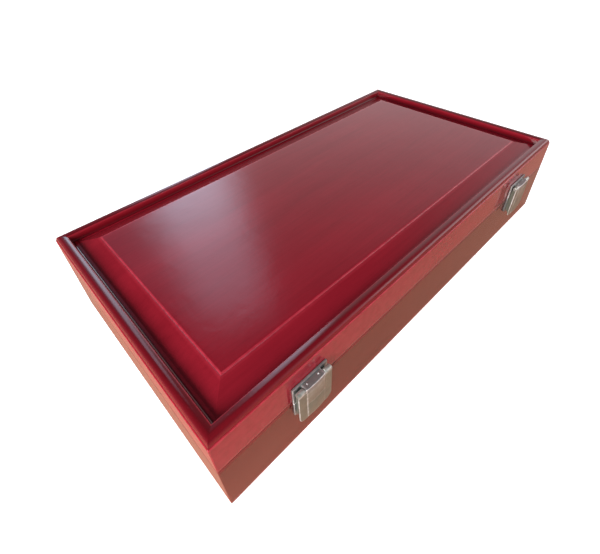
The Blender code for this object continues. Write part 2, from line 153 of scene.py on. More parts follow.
def lacquered_wood(name, axis, deep, light, rubbed_and_highlit, coat_roughness=0.12):
    """Stained wood, grained along one axis, under gloss lacquer, with painted shade where the shade value is
    set and lighter edges: rubbing plus painted highlight.
    """
    shader = Shader(name)
    figure = shader.noise(shader.scaled(grain_scale(axis, 3.0, 42.0)), 1.0, 6.0, 0.6, 0.62)
    streaks = shader.noise(shader.scaled(grain_scale(axis, 14.0, 420.0)), 1.0, 3.0, 0.2)
    cloud = shader.noise(shader.object_place, 9.0, 3.0)
    grain = shader.math("ADD", shader.math("MULTIPLY", figure, 0.65), shader.math("MULTIPLY", streaks, 0.35))
    colour = shader.mix(shader.range(grain, 0.36, 0.64), deep, light)
    shade = shader.range(cloud, 0.3, 0.7, 0.0, 0.22)
    colour = shader.mix(shade, colour, tuple(0.55 * part for part in deep))
    pores = shader.noise(shader.scaled(grain_scale(axis, 60.0, 1500.0)), 1.0, 2.0)
    pore_mask = shader.range(pores, 0.60, 0.70, 0.0, 0.18)
    colour = shader.mix(pore_mask, colour, tuple(0.35 * part for part in deep))
    # Painted shade: the shade value darkens the colour in the cove, over the inner crown and in the panel's
    # channel, where shade falls.
    painted_shade = shader.math("MULTIPLY", shader.attribute("painted_shade"), 0.8)
    colour = shader.mix(painted_shade, colour, tuple(0.30 * part for part in deep))
    # Edge value: mixes in the light edge colour, rubbing on arrises plus painted highlight, and painted light
    # over the lid's outer face.
    rub = shader.noise(shader.object_place, 160.0, 4.0)
    wear_and_highlight = shader.math("MULTIPLY", shader.attribute("edge"), shader.range(rub, 0.35, 0.60, 0.30, 0.50))
    colour = shader.mix(wear_and_highlight, colour, rubbed_and_highlit)
    shader.join(colour, shader.bsdf.inputs["Base Color"])
    haze = shader.noise(shader.object_place, 22.0, 5.0)
    shader.join(shader.range(haze, 0.3, 0.7, 0.30, 0.42), shader.bsdf.inputs["Roughness"])
    peel = shader.noise(shader.object_place, 420.0, 2.0)
    dust = shader.range(shader.noise(shader.object_place, 900.0, 1.0), 0.74, 0.80)
    wave = shader.noise(shader.object_place, 34.0, 2.0, 0.6)
    surface = shader.bump(wave, 0.10, 0.0012)
    surface = shader.bump(peel, 0.05, 0.0004, surface)
    surface = shader.bump(dust, 0.25, 0.0001, surface)
    shader.join(surface, shader.bsdf.inputs["Normal"])
    shader.join(surface, shader.bsdf.inputs["Coat Normal"])
    shader.set(Specular_IOR_Level=0.0, Coat_Weight=1.0, Coat_Roughness=coat_roughness, Coat_IOR=1.48)
    return shader.material


def satin_metal(name, colour, bright, roughness=0.30, axis="X", metallic=0.8):
    """Plated metal with a fine brushed lay along one axis, faint stains, and edges made lighter and less
    metallic by the edge value: polished by hands, plus a painted highlight.
    """
    shader = Shader(name)
    lay = shader.noise(shader.scaled(grain_scale(axis, 90.0, 4200.0)), 1.0, 3.0)
    stain = shader.noise(shader.object_place, 110.0, 5.0, 0.5)
    dull = shader.range(stain, 0.42, 0.72, 0.0, 0.35)
    base = shader.mix(dull, colour, tuple(0.72 * part for part in colour))
    touched = shader.range(shader.noise(shader.object_place, 260.0, 3.0), 0.35, 0.65, 0.30, 0.85)
    # Edge value: mixes in the bright, less metallic colour, partly hand polishing and partly a painted
    # highlight.
    polish_and_highlight = shader.math("MULTIPLY", shader.attribute("edge"), touched)
    shader.join(shader.mix(polish_and_highlight, base, bright), shader.bsdf.inputs["Base Color"])
    fine = shader.range(lay, 0.3, 0.7, -0.05, 0.05)
    coarse = shader.range(stain, 0.3, 0.7, -0.04, 0.08)
    spread = shader.math("ADD", fine, coarse)
    shader.join(shader.math("ADD", spread, roughness), shader.bsdf.inputs["Roughness"])
    shader.join(shader.bump(lay, 0.08, 0.00005), shader.bsdf.inputs["Normal"])
    shader.join(shader.range(polish_and_highlight, 0.0, 1.0, metallic, 0.25), shader.bsdf.inputs["Metallic"])
    return shader.material


def stained_wood(name, axis, deep, light, roughness=0.42):
    """Plain wood with a thin satin finish: visible grain, open pores and a soft sheen."""
    shader = Shader(name)
    figure = shader.noise(shader.scaled(grain_scale(axis, 5.0, 90.0)), 1.0, 6.0, 1.2, 0.6)
    streaks = shader.noise(shader.scaled(grain_scale(axis, 22.0, 700.0)), 1.0, 3.0)
    grain = shader.math("ADD", shader.math("MULTIPLY", figure, 0.6), shader.math("MULTIPLY", streaks, 0.4))
    colour = shader.mix(shader.range(grain, 0.35, 0.65), deep, light)
    shader.join(colour, shader.bsdf.inputs["Base Color"])
    shader.join(
        shader.range(grain, 0.3, 0.7, roughness + 0.08, roughness - 0.06), shader.bsdf.inputs["Roughness"]
    )
    shader.join(shader.bump(grain, 0.25, 0.00015), shader.bsdf.inputs["Normal"])
    return shader.material


def felt(name, deep, light):
    """Short-napped wool felt: mottled colour, fine fibres and a soft edge sheen."""
    shader = Shader(name)
    mottle = shader.noise(shader.object_place, 60.0, 6.0, 0.8)
    fibre = shader.noise(shader.object_place, 2600.0, 4.0, 1.5)
    tone = shader.math("ADD", shader.math("MULTIPLY", mottle, 0.5), shader.math("MULTIPLY", fibre, 0.5))
    shader.join(shader.mix(shader.range(tone, 0.35, 0.65), deep, light), shader.bsdf.inputs["Base Color"])
    shader.join(shader.bump(fibre, 0.6, 0.0004), shader.bsdf.inputs["Normal"])
    shader.set(Roughness=0.95, Specular_IOR_Level=0.2, Sheen_Weight=0.6, Sheen_Roughness=0.5)
    return shader.material


RAIL_DEEP = (0.185, 0.0050, 0.0110)
RAIL_LIGHT = (0.250, 0.0080, 0.0170)
# Light edge colour: rubbed arrises, painted highlights, and painted light on the lid's outer face.
RAIL_RUB_AND_HIGHLIGHT = (0.70, 0.060, 0.095)
PANEL_DEEP = (0.195, 0.0060, 0.0140)
PANEL_LIGHT = (0.245, 0.0090, 0.0190)
BASE_DEEP = (0.110, 0.0120, 0.0090)
BASE_LIGHT = (0.170, 0.0200, 0.0150)
TRAY_DEEP = (0.150, 0.030, 0.020)
TRAY_LIGHT = (0.300, 0.075, 0.045)

MATERIALS = {
    "rail_X": lacquered_wood("rail_lacquer_x", "X", RAIL_DEEP, RAIL_LIGHT, RAIL_RUB_AND_HIGHLIGHT),
    "rail_Y": lacquered_wood("rail_lacquer_y", "Y", RAIL_DEEP, RAIL_LIGHT, RAIL_RUB_AND_HIGHLIGHT),
    "panel": lacquered_wood("panel_lacquer", "X", PANEL_DEEP, PANEL_LIGHT, RAIL_RUB_AND_HIGHLIGHT, 0.14),
    "base_X": lacquered_wood("base_lacquer_x", "X", BASE_DEEP, BASE_LIGHT, RAIL_RUB_AND_HIGHLIGHT),
    "base_Y": lacquered_wood("base_lacquer_y", "Y", BASE_DEEP, BASE_LIGHT, RAIL_RUB_AND_HIGHLIGHT),
    "bottom": stained_wood("bottom_plywood", "X", (0.14, 0.035, 0.022), (0.26, 0.085, 0.050), 0.60),
    "tray_X": stained_wood("tray_wood_x", "X", TRAY_DEEP, TRAY_LIGHT),
    "tray_Y": stained_wood("tray_wood_y", "Y", TRAY_DEEP, TRAY_LIGHT),
    "nickel": satin_metal("satin_nickel", (0.26, 0.28, 0.27), (0.95, 0.93, 0.92), 0.34, "X", 0.7),
    "cover": satin_metal("satin_nickel_cover", (0.23, 0.26, 0.21), (0.95, 0.93, 0.92), 0.34, "Z", 0.7),
    "steel": satin_metal("plated_steel", (0.50, 0.49, 0.46), (0.85, 0.84, 0.80), 0.33),
    "felt": felt("green_felt", (0.006, 0.055, 0.028), (0.016, 0.120, 0.060)),
    "lining": felt("lining_velvet", (0.004, 0.036, 0.018), (0.010, 0.075, 0.038)),
}


# ---------------------------------------------------------------- mesh helpers


def arc(centre, radii, start, end, steps):
    """Points on an ellipse between two angles in degrees."""
    points = []
    for i in range(steps + 1):
        angle = math.radians(start + (end - start) * i / steps)
        points.append((centre[0] + radii[0] * math.cos(angle), centre[1] + radii[1] * math.sin(angle)))
    return points


def cut_box(obj, low, high):
    """Takes a box out of a piece."""
    cutter_data = bmesh.new()
    bmesh.ops.create_cube(cutter_data, size=1.0)
    size = Vector(high) - Vector(low)
    for vertex in cutter_data.verts:
        vertex.co = Vector(low) + Vector([(part + 0.5) * side for part, side in zip(vertex.co, size)])
    mesh = bpy.data.meshes.new("cutter")
    cutter_data.to_mesh(mesh)
    cutter_data.free()
    cutter = bpy.data.objects.new("cutter", mesh)
    bpy.context.scene.collection.objects.link(cutter)
    cut = obj.modifiers.new("cut", "BOOLEAN")
    cut.operation = "DIFFERENCE"
    cut.object = cutter
    seen = obj.evaluated_get(bpy.context.evaluated_depsgraph_get())
    obj.data = bpy.data.meshes.new_from_object(seen)
    obj.modifiers.remove(cut)
    bpy.data.objects.remove(cutter)
    bpy.data.meshes.remove(mesh)


def finished(name, mesh_data, material, body, angle=30, cuts=()):
    """The object of a bmesh, smooth except at sharp edges, riding on a body."""
    bmesh.ops.remove_doubles(mesh_data, verts=mesh_data.verts, dist=1e-6)
    bmesh.ops.recalc_face_normals(mesh_data, faces=mesh_data.faces)
    mesh = bpy.data.meshes.new(name)
    mesh_data.to_mesh(mesh)
    mesh_data.free()
    mesh.materials.append(material)
    mesh.shade_smooth()
    mesh.set_sharp_from_angle(angle=math.radians(angle))
    obj = bpy.data.objects.new(name, mesh)
    bpy.context.scene.collection.objects.link(obj)
    for low, high in cuts:
        cut_box(obj, low, high)
        obj.data.set_sharp_from_angle(angle=math.radians(angle))
    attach(obj, body)
    return obj


def skin(mesh_data, rings):
    """Closes the surface between matching rings of vertices, with a cap at each end."""
    count = len(rings[0])
    for low, high in zip(rings, rings[1:]):
        for i in range(count):
            following = (i + 1) % count
            mesh_data.faces.new((low[i], low[following], high[following], high[i]))
    mesh_data.faces.new(rings[0])
    mesh_data.faces.new(rings[-1])


def corner_arc(inset, radius, start):
    """Offsets from the sharp outer corner of a rounded rectangle, drawn in by an inset, over 45 degrees."""
    left = max(radius - inset, 0.0)
    centre = max(radius, inset)
    steps = 4
    points = []
    for i in range(steps + 1):
        angle = math.radians(start + 45 * i / steps)
        points.append((centre + left * math.cos(angle), centre + left * math.sin(angle)))
    return points


def rail_section(profile, share, side, radius):
    """One cross-section of a mitred rail. share is the end, -1 or 1, and the step round its outer corner."""
    along = HALF_X if side % 2 == 0 else HALF_Y
    across = HALF_Y if side % 2 == 0 else HALF_X
    turn = Matrix.Translation((0, Y_MID, 0)) @ Matrix.Rotation(math.radians(90 * side), 4, "Z")
    end, step = share
    loop = []
    for inset, height, *_ in profile:
        offset = corner_arc(inset, radius, 225)[step]
        loop.append(turn @ Vector((end * (along - offset[0]), offset[1] - across, height)))
    return loop


def rail_piece(name, profile, side, material, body, radius, cuts=()):
    """A board along one side of the case with mitred ends and round outer corners. Its profile's points are
    (inset, height, edge value, shade value): the edge value lightens with rubbing, painted highlight and
    painted light, the shade value paints shade."""
    shares = [(-1, step) for step in range(5)] + [(1, step) for step in range(4, -1, -1)]
    mesh_data = bmesh.new()
    layers = [mesh_data.verts.layers.float.new(word) for word in ("edge", "painted_shade")]
    rings = []
    for share in shares:
        ring = []
        for point, marks in zip(rail_section(profile, share, side, radius), profile):
            vertex = mesh_data.verts.new(point)
            for layer, value in zip(layers, marks[2:]):
                vertex[layer] = value
            ring.append(vertex)
        rings.append(ring)
    skin(mesh_data, rings)
    return finished(name, mesh_data, material, body, cuts=cuts)


def hinge_recesses(seam, way):
    """Boxes that make room for the two hinge leaves let into a back board at the seam."""
    side_room = 0.3 * MM
    reach = 9.8 * MM
    past_face = 2.0 * MM
    depth = 1.2 * MM
    past_seam = 1.0 * MM
    boxes = []
    for word in ("left", "right"):
        low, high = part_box(f"hinge_{word}_lid_leaf")
        levels = sorted((seam - way * past_seam, seam + way * depth))
        start = (low.x - side_room, Y_BACK - reach, levels[0])
        boxes.append((start, (high.x + side_room, Y_BACK + past_face, levels[1])))
    return boxes


def plain(points, edge=0.0, painted_shade=0.0):
    return [(inset, height, edge, painted_shade) for inset, height in points]


# ---------------------------------------------------------------- lid


def lid_rail_profile():
    """Outer face, arris, round shoulder, crown, inner edge and cove; then the panel's slot and inner face."""
    low = LID_LOW
    m = MOULDING
    tongue_top = m - 5.1 * MM
    tongue_low = PANEL_LOW.z - 0.3 * MM
    slot_inset = PANEL_LOW.x + HALF_X - 0.3 * MM
    return [
        # The third values lighten the colour: painted light over the outer face, and rubbing plus a painted
        # highlight on the arrises and the inner edge.
        *plain(arc((0.6 * MM, low + 0.6 * MM), (0.6 * MM, 0.6 * MM), 270, 180, 3), 0.25),
        *plain([(0.0, low + 3 * MM), (0.0, m - 3.0 * MM)], 0.3),
        *plain(arc((0.45 * MM, m - 0.55 * MM), (0.45 * MM, 0.45 * MM), 180, 110, 3), 0.75),
        # The fourth values paint shade: in the quirk, over the shoulder and the crown, and deepest at the
        # inner edge's foot and in the cove.
        *plain([(0.75 * MM, m + 0.1 * MM)], 0.0, 0.2),
        *plain(arc((5.0 * MM, m), (4.1 * MM, 4.3 * MM), 168, 140, 4), 0.0, 0.35),
        *plain(arc((5.0 * MM, m), (4.1 * MM, 4.3 * MM), 133, 90, 7), 0.0, 0.55),
        *plain([(5.9 * MM, m + 4.23 * MM), (7.0 * MM, m + 4.07 * MM)], 0.0, 0.8),
        *plain([(8.1 * MM, m + 3.83 * MM)], 0.0, 0.8),
        *plain([(8.8 * MM, m + 3.62 * MM)], 0.0, 0.9),
        *plain(arc((9.1 * MM, m + 2.8 * MM), (0.8 * MM, 0.8 * MM), 85, 8, 5), 0.2),
        *plain([(10.2 * MM, m + 0.2 * MM)], 0.0, 0.3),
        *plain([(10.6 * MM, m - 1.9 * MM)], 0.0, 0.8),
        *plain(arc((11.9 * MM, m - 2.0 * MM), (1.3 * MM, 1.25 * MM), 190, 262, 4), 0.0, 1.0),
        (WALL, m - 3.3 * MM, 0.0, 1.0),
        *plain([(WALL, tongue_top), (slot_inset, tongue_top), (slot_inset, tongue_low), (WALL, tongue_low)]),
        *plain([(WALL, low + 0.5 * MM), (WALL - 0.5 * MM, low)]),
    ]


def panel_profile():
    """The raised panel from its hidden tongue, over the channel by the rails and the bevel, to the flat
    field.
    """
    m = MOULDING
    tongue = PANEL_LOW.x + HALF_X
    return [
        *plain([(tongue, PANEL_LOW.z), (tongue, m - 5.4 * MM), (WALL + 0.2 * MM, m - 5.4 * MM)]),
        # Painted shade in the channel at the foot of the rails.
        *plain([(WALL + 0.2 * MM, m - 3.6 * MM), (WALL + 0.5 * MM, m - 3.35 * MM)], 0.0, 0.5),
        *plain([(13.8 * MM, m - 3.35 * MM), (14.8 * MM, m - 3.22 * MM), (17.0 * MM, m - 2.55 * MM)]),
        *plain([(21.0 * MM, m - 1.2 * MM), (25.0 * MM, m + 0.10 * MM)]),
        *plain([(29.3 * MM, m + 1.50 * MM)]),
        # Lighter toward the arris: a painted highlight, with rubbing on the arris itself.
        *plain([(30.8 * MM, m + 2.02 * MM), (31.6 * MM, m + 2.36 * MM)], 0.2),
        *plain(arc((33.5 * MM, PANEL_TOP - 1.5 * MM), (1.5 * MM, 1.42 * MM), 140, 98, 5), 0.7),
        *plain([(33.9 * MM, PANEL_TOP - 0.05 * MM), (34.9 * MM, PANEL_TOP - 0.018 * MM)]),
        *plain([(36.0 * MM, PANEL_TOP)]),
    ]


def build_lid():
    for side, word in enumerate(("front", "right", "back", "left")):
        material = MATERIALS["rail_X" if side % 2 == 0 else "rail_Y"]
        cuts = hinge_recesses(LID_LOW, 1) if word == "back" else ()
        name = f"lid_{word}_moulding"
        piece = rail_piece(name, lid_rail_profile(), side, material, "lid", 1.1 * MM, cuts)
        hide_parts(f"lid_{word}_rail")

    mesh_data = bmesh.new()
    layers = [mesh_data.verts.layers.float.new(word) for word in ("edge", "painted_shade")]
    rings = []
    for inset, height, *marks in panel_profile():
        x = HALF_X - inset
        y = HALF_Y - inset
        ring = []
        for corner in ((-x, -y), (x, -y), (x, y), (-x, y)):
            vertex = mesh_data.verts.new((corner[0], corner[1] + Y_MID, height))
            for layer, value in zip(layers, marks):
                vertex[layer] = value
            ring.append(vertex)
        rings.append(ring)
    skin(mesh_data, rings)
    panel = finished("lid_panel", mesh_data, MATERIALS["panel"], "lid", 9)
    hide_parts("lid_raised_panel")


# ---------------------------------------------------------------- base


def base_board_profile():
    top = BASE_TOP
    rebate = 6.0 * MM
    shelf = BOTTOM_TOP + 0.3 * MM
    return [
        *plain(arc((1.2 * MM, 1.2 * MM), (1.2 * MM, 1.2 * MM), 270, 180, 5), 0.45),
        *plain([(0.0, 6 * MM), (0.0, top - 5 * MM)]),
        *plain(arc((0.5 * MM, top - 0.5 * MM), (0.5 * MM, 0.5 * MM), 180, 90, 3), 0.25),
        *plain([(WALL - 0.5 * MM, top), (WALL, top - 0.5 * MM)]),
        *plain([(WALL, shelf), (rebate, shelf), (rebate, 0.0)]),
    ]


def build_base():
    for side, word in enumerate(("front", "right", "back", "left")):
        material = MATERIALS["base_X" if side % 2 == 0 else "base_Y"]
        cuts = hinge_recesses(BASE_TOP, -1) if word == "back" else ()
        name = f"base_{word}_side"
        piece = rail_piece(name, base_board_profile(), side, material, "base", 1.1 * MM, cuts)
        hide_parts(f"base_{word}_board")


# ---------------------------------------------------------------- latches

PIN_Z = LID_LOW + 14.3 * MM
PIN_OUT = 5.4 * MM
COVER_HALF = 16.7 * MM
SHOULDER = 10.0 * MM
COVER_LOW, COVER_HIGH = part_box("latch_left_cover")
LATCH_X = -(COVER_LOW.x + COVER_HIGH.x) / 2


def out(distance):
    """The y of a point at this distance out from the front face."""
    return Y_FRONT - distance


def loft(mesh_data, loops, edges=None, rubbed_and_highlit_ends=(0.0, 0.0)):
    """A closed skin through matching loops of points. edges holds a value for each point of a loop that
    lightens the metal there: rubbing plus painted highlight.
    """
    layer = mesh_data.verts.layers.float.get("edge") or mesh_data.verts.layers.float.new("edge")
    rings = []
    for loop in loops:
        ring = [mesh_data.verts.new(point) for point in loop]
        for vertex, value in zip(ring, edges or ()):
            vertex[layer] = value
        rings.append(ring)
    # The second and the next-to-last loop get the given end values too: rubbing plus painted highlight, more
    # at one end.
    for ring, value in zip((rings[1], rings[-2]), rubbed_and_highlit_ends):
        for vertex in ring:
            vertex[layer] = max(vertex[layer], value)
    skin(mesh_data, rings)


def rounded_plate(mesh_data, outline, back, front, soft, wear_and_highlight):
    """A plate from an outline of (x, z) points, standing out from the case, with a rounded front edge. The
    last argument has a value for each point, which lightens the rounded edge there: rubbing plus painted
    highlight."""
    loops = []
    middle = Vector((sum(u for u, _ in outline), sum(v for _, v in outline))) / len(outline)
    steps = [(back, 0.0), (front - soft, 0.0), (front - 0.3 * soft, 0.3 * soft)]
    steps += [(front, soft), (front, 2.2 * soft)]
    for distance, draw_in in steps:
        loop = []
        for point in outline:
            away = Vector(point) - middle
            shift = Vector((math.copysign(draw_in, away.x), math.copysign(draw_in, away.y)))
            spot = Vector(point) - shift
            loop.append((spot.x, out(distance), spot.y))
        loops.append(loop)
    layer = mesh_data.verts.layers.float.get("edge") or mesh_data.verts.layers.float.new("edge")
    rings = [[mesh_data.verts.new(point) for point in loop] for loop in loops]
    for ring in rings[1:3]:
        for vertex, value in zip(ring, wear_and_highlight):
            vertex[layer] = value
    skin(mesh_data, rings)


def across(x, half, section):
    """Loops of a section at stations across the latch. section(share, draw_in) gives (out, z) points, with
    share from -1 to 1. The end stations are drawn in, which rounds the piece's side edges."""
    loops = []
    middle = [(i / 6, 0.0) for i in range(-5, 6)]
    stations = [(-1.0, 0.35), (-0.975, 0.1), *middle, (0.975, 0.1), (1.0, 0.35)]
    for share, draw_in in stations:
        points = section(share, draw_in * MM)
        loops.append([(x + share * half, out(forward), height) for forward, height in points])
    return loops


def bulge(share):
    """How far out the middle part of the latch stands: bowed, furthest in the middle."""
    return (8.08 - 0.55 * share * share) * MM


def nose_section(share, draw_in=0.0):
    """The flat-topped nose that carries the pin, from the wall to its bowed front."""
    front = bulge(share) - draw_in
    r = 0.45 * MM
    top = PIN_Z + 1.85 * MM - draw_in / 2
    low = PIN_Z - 2.35 * MM
    return [
        (1.0 * MM, top),
        (front - 1.6 * r, top),
        *arc((front - r, top - r), (r, r), 75, 15, 3),
        (front, top - 1.6 * r),
        (front, low),
        (PIN_OUT + 1.2 * MM, PIN_Z - 3.3 * MM),
        (1.0 * MM, PIN_Z - 3.3 * MM),
    ]


def raised_section(share, draw_in=0.0):
    """The cover's raised middle, following the nose at its top, with a fine crease across."""
    front = bulge(share) - draw_in
    low = COVER_LOW.z + 1.2 * MM
    crease = COVER_LOW.z + 19.6 * MM
    reach = 3.62 * MM
    inner = 6.5 * MM
    top = PIN_Z - math.sqrt(reach**2 - (front - PIN_OUT) ** 2)
    inner_top = PIN_Z - math.sqrt(reach**2 - (inner - PIN_OUT) ** 2)
    return [
        (inner, low),
        (front - 0.5 * MM, low),
        (front - 0.1 * MM, low + 0.2 * MM),
        (front, low + 0.7 * MM),
        (front, crease - 0.35 * MM),
        (front - 0.12 * MM, crease),
        (front, crease + 0.35 * MM),
        (front, top - 0.1 * MM),
        (front - 0.1 * MM, top),
        (inner, inner_top),
    ]


def cover_outline(x):
    corner = (6.0 * MM, 6.0 * MM)
    round_x = COVER_HALF - 6.0 * MM
    round_z = COVER_LOW.z + 6.0 * MM
    notch = PIN_Z - 3.5 * MM
    points = [
        *arc((-round_x, round_z), corner, 180, 270, 8),
        *arc((round_x, round_z), corner, 270, 360, 8),
        (COVER_HALF, PIN_Z),
        (SHOULDER, PIN_Z),
        (SHOULDER, notch),
        (-SHOULDER, notch),
        (-SHOULDER, PIN_Z),
        (-COVER_HALF, PIN_Z),
    ]
    return [(x + u, z) for u, z in points]


def shoulder_loops(x, side):
    """A round knuckle at one end of the pin, its rims softened."""
    loops = []
    width = (COVER_HALF - SHOULDER) / MM
    stations = [(0.0, 2.0), (0.25, 2.35), (0.6, 2.4), (width - 0.7, 2.4), (width - 0.2, 2.2), (width, 1.7)]
    for along, radius in stations:
        place = x + side * (SHOULDER + along * MM)
        ring = arc((PIN_OUT, PIN_Z), (radius * MM, radius * MM), 0, 345, 23)
        loops.append([(place, out(forward), height) for forward, height in ring])
    return loops


def flange_section():
    back = 2.35 * MM
    return [
        (PIN_OUT - 2.2 * MM, PIN_Z - 0.2 * MM),
        (PIN_OUT + 1.5 * MM, PIN_Z - 0.2 * MM),
        (6.8 * MM, COVER_LOW.z + 7.0 * MM),
        (6.2 * MM, COVER_LOW.z + 4.5 * MM),
        (back, COVER_LOW.z + 10.0 * MM),
        (back, PIN_Z - 6.0 * MM),
    ]


def build_cover(word, x):
    mesh_data = bmesh.new()
    outline = cover_outline(x)
    # Left edges 0.9, right ones 0.4: a painted highlight on the side toward the key light, over light
    # rubbing.
    wear_and_highlight = [0.9 if point_x < x else 0.4 for point_x, _ in outline]
    rounded_plate(mesh_data, outline, 6.25 * MM, 7.3 * MM, 0.5 * MM, wear_and_highlight)
    # Lighter along the bottom edge, the crease and the top edge, more at the left end: painted highlights,
    # with rubbing on the edges.
    marks = (0.0, 0.3, 0.7, 0.0, 0.0, 0.6, 0.0, 0.2, 0.4, 0.0)
    loft(mesh_data, across(x, 9.4 * MM, raised_section), marks, (0.75, 0.25))
    for side in (-1, 1):
        # Shoulders lightened all over: a painted highlight, with rubbing.
        loft(mesh_data, shoulder_loops(x, side), [0.45] * 24)
        edge = x + side * (COVER_HALF - 1.6 * MM)
        section = flange_section()
        flange = [[(place, out(u), v) for u, v in section] for place in (edge - side * 0.8 * MM, edge)]
        loft(mesh_data, flange)
    cover = finished(
        f"latch_{word}_cover_shell", mesh_data, MATERIALS["cover"], f"latch_{word}_cover"
    )
    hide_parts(f"latch_{word}_cover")


def build_hook_plate(word, x):
    """The back plate on the lid with the nose, and two small rivet heads on the nose."""
    low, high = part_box(f"latch_{word}_lid_plate")
    mesh_data = bmesh.new()
    outline = [(low.x, low.z), (high.x, low.z), (high.x, high.z), (low.x, high.z)]
    # Uneven values round the plate's edge: a painted highlight, strongest at the lower left, with rubbing.
    rounded_plate(mesh_data, outline, 0.3 * MM, 2.0 * MM, 0.35 * MM, (0.8, 0.3, 0.15, 0.5))
    # Lighter over the nose's rounded front top, more at the left end: painted highlight, with rubbing.
    marks = (0.0, 0.1, 0.7, 1.0, 1.0, 0.8, 0.1, 0.0, 0.0, 0.0)
    loft(mesh_data, across(x, 9.7 * MM, nose_section), marks, (1.0, 0.6))
    for side in (-1, 1):
        rings = []
        for radius, height in ((0.65, 1.7), (0.6, 2.0), (0.4, 2.2), (0.12, 2.28)):
            circle = arc((x + side * 5.6 * MM, 4.2 * MM), (radius * MM, radius * MM), 0, 330, 11)
            rings.append([(u, out(v), PIN_Z + height * MM) for u, v in circle])
        # Rivet heads fully lightened: painted glints on the small domes.
        loft(mesh_data, rings, [1.0] * 12)
    plate = finished(f"latch_{word}_hook_plate", mesh_data, MATERIALS["nickel"], "lid")
    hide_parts(f"latch_{word}_lid_plate")


def build_screw(word, x, part, body):
    """An oval-head screw with a cross recess, through one of the two latch plates."""
    low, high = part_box(f"latch_{word}_{part}_plate_screw")
    z = (low.z + high.z) / 2
    mesh_data = bmesh.new()
    rings = []
    shank = ((0.5, -7.0), (1.05, -5.8), (1.05, 0.4))
    head = ((2.1, 1.75), (2.12, 2.06), (1.85, 2.3), (1.2, 2.5), (0.4, 2.56))
    for radius, distance in (*shank, *head):
        circle = arc((x, z), (radius * MM, radius * MM), 0, 345, 23)
        rings.append([(u, out(distance * MM), v) for u, v in circle])
    loft(mesh_data, rings, [0.4] * 24)
    slots = []
    for wide, tall in ((1.25 * MM, 0.24 * MM), (0.24 * MM, 1.25 * MM)):
        slots.append(((x - wide, out(3.0 * MM), z - tall), (x + wide, out(1.9 * MM), z + tall)))
    name = f"latch_{word}_{part}_screw_head"
    screw = finished(name, mesh_data, MATERIALS["nickel"], body, 30, slots)
    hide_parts(f"latch_{word}_{part}_plate_screw")


def build_latches():
    for word, x in (("left", -LATCH_X), ("right", LATCH_X)):
        build_cover(word, x)
        build_hook_plate(word, x)
        build_screw(word, x, "lid", "lid")
        build_screw(word, x, "base", "base")
        rounded_highlit_copy(f"latch_{word}_base_plate", 0.35 * MM, MATERIALS["nickel"], "base")


# ---------------------------------------------------------------- fabric


def fabric_grid(name, low, high, columns, rows, bottom, top, material, body):
    """A thin fabric piece over a rectangle. bottom and top give the height at a place and its distance from
    the nearest edge."""
    mesh_data = bmesh.new()
    faces = []
    for height in (bottom, top):
        grid = []
        for i in range(columns + 1):
            line = []
            for j in range(rows + 1):
                x = low.x + (high.x - low.x) * i / columns
                y = low.y + (high.y - low.y) * j / rows
                edge = min(x - low.x, high.x - x, y - low.y, high.y - y)
                line.append(mesh_data.verts.new((x, y, height(x, y, max(edge, 0.0)))))
            grid.append(line)
        faces.append(grid)
    for grid in faces:
        for i in range(columns):
            for j in range(rows):
                mesh_data.faces.new((grid[i][j], grid[i + 1][j], grid[i + 1][j + 1], grid[i][j + 1]))
    below, above = faces
    rim = [(i, 0) for i in range(columns)] + [(columns, j) for j in range(rows)]
    rim += [(i, rows) for i in range(columns, 0, -1)] + [(0, j) for j in range(rows, 0, -1)]
    for (i, j), (k, m) in zip(rim, rim[1:] + rim[:1]):
        mesh_data.faces.new((below[i][j], below[k][m], above[k][m], above[i][j]))
    return finished(name, mesh_data, material, body, 50)


def build_fabric():
    low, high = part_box("base_floor_felt")
    felt_sheet = fabric_grid(
        "floor_felt",
        low,
        high,
        110,
        56,
        lambda x, y, edge: low.z,
        lambda x, y, edge: high.z - (0.10 + 0.05 * math.sin(90 * x) * math.cos(110 * y)) * MM,
        MATERIALS["felt"],
        "base",
    )
    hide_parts("base_floor_felt")

    floor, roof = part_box("lid_lining")

    def pad_face(x, y, edge):
        """Crowned towards the chips: thin at the rim, full away from it, with faint puckers near it."""
        near = max(0.0, 1.0 - edge / 0.020)
        full = 1.0 - near**3
        pucker = 0.10 * near * (1 - near) * math.sin(520 * x + 40 * y) * math.cos(470 * y)
        return roof.z - (1.1 + 1.7 * full + pucker) * MM

    pad = fabric_grid(
        "lid_pad",
        floor,
        roof,
        140,
        72,
        pad_face,
        lambda x, y, edge: roof.z,
        MATERIALS["lining"],
        "lid",
    )
    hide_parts("lid_lining")


# ---------------------------------------------------------------- carried-over nodes


def rounded_highlit_copy(node, width, material, body):
    """Stands for a CAD node: the same shape with rounded edges, whose crests carry the edge value: rubbing
    plus painted highlight lines.
    """
    mesh_data = bmesh.new()
    mesh_data.from_mesh(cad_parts[node].data)
    bmesh.ops.remove_doubles(mesh_data, verts=mesh_data.verts, dist=1e-5)
    bmesh.ops.dissolve_limit(
        mesh_data, angle_limit=math.radians(1), verts=mesh_data.verts, edges=mesh_data.edges
    )
    sharp = [e for e in mesh_data.edges if e.is_manifold and e.calc_face_angle() > math.radians(30)]
    made = bmesh.ops.bevel(
        mesh_data,
        geom=sharp,
        offset=width,
        offset_type="OFFSET",
        segments=2,
        profile=0.5,
        affect="EDGES",
        clamp_overlap=True,
    )
    layer = mesh_data.verts.layers.float.new("edge")
    round_faces = set(made["faces"])
    # Crests on the rounded edges get the full edge value: painted highlight lines, with rubbing.
    for vertex in mesh_data.verts:
        if vertex.link_faces and all(face in round_faces for face in vertex.link_faces):
            vertex[layer] = 1.0
    piece = finished(f"{node}_worn", mesh_data, material, body)
    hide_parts(node)


